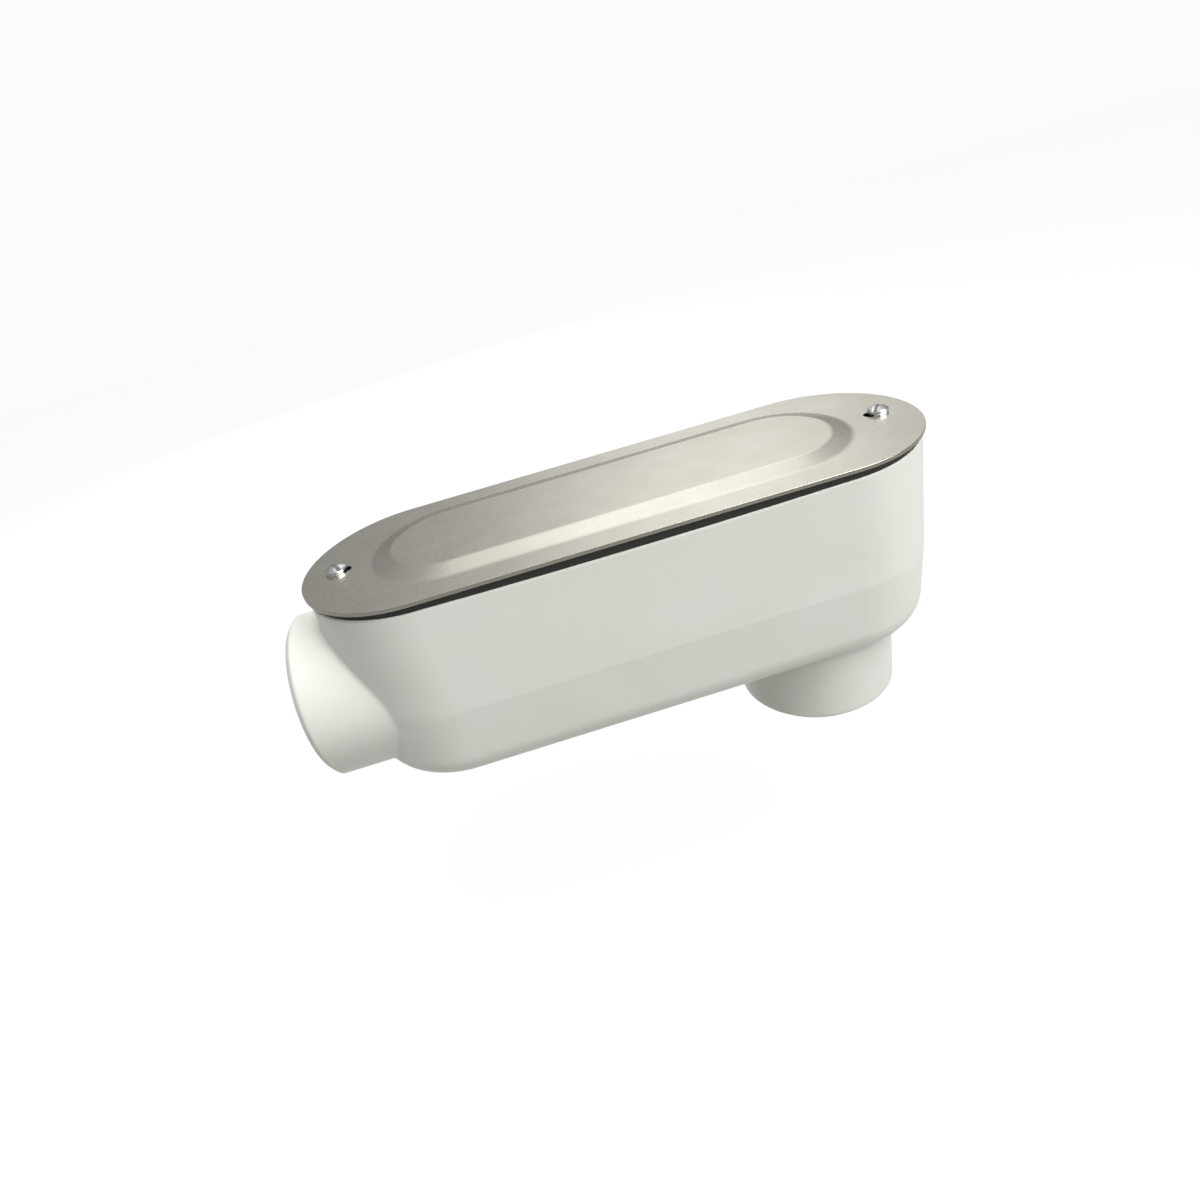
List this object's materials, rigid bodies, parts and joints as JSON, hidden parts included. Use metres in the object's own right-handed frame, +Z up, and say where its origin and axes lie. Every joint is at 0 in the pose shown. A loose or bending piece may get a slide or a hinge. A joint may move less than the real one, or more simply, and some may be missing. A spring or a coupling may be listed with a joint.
{
  "type": "conduit body",
  "caption": "Long pill-shaped cast conduit body with a threaded hub at one end, a second threaded hub through its back, a rubber gasket and a screwed stamped metal cover.",
  "frame": {"origin": "on the rear hub's axis where its thread begins, 1.2 mm in from the hub's mouth", "axes": "+Z runs up the rear hub's axis to the cover, +X is the long way of the body, away from the end hub, whose mouth faces -X"},
  "size_m": [0.224, 0.072, 0.1044],
  "materials": {
    "painted_casting": "smooth off-white powder coat on cast aluminium",
    "gasket_rubber": "matt black rubber sheet",
    "cover_sheet": "bare mill-finish sheet with a soft satin sheen",
    "screw_zinc": "bright zinc plating"
  },
  "bodies": {
    "casting": {"body_casting": "painted_casting", "gasket": "gasket_rubber"},
    "lid": {"cover": "cover_sheet"},
    "screw_left": {"cover_screw_left": "screw_zinc"},
    "screw_right": {"cover_screw_right": "screw_zinc"}
  },
  "joints": [
    {"name": "cover_lift", "type": "slide", "parent": "casting", "child": "lid", "axis": [0, 0, 1], "range_m": [0, 0.04]},
    {"name": "screw_left_back_out", "type": "slide", "parent": "lid", "child": "screw_left", "axis": [0, 0, 1], "range_m": [0, 0.0115]},
    {"name": "screw_right_back_out", "type": "slide", "parent": "lid", "child": "screw_right", "axis": [0, 0, 1], "range_m": [0, 0.0115]}
  ]
}
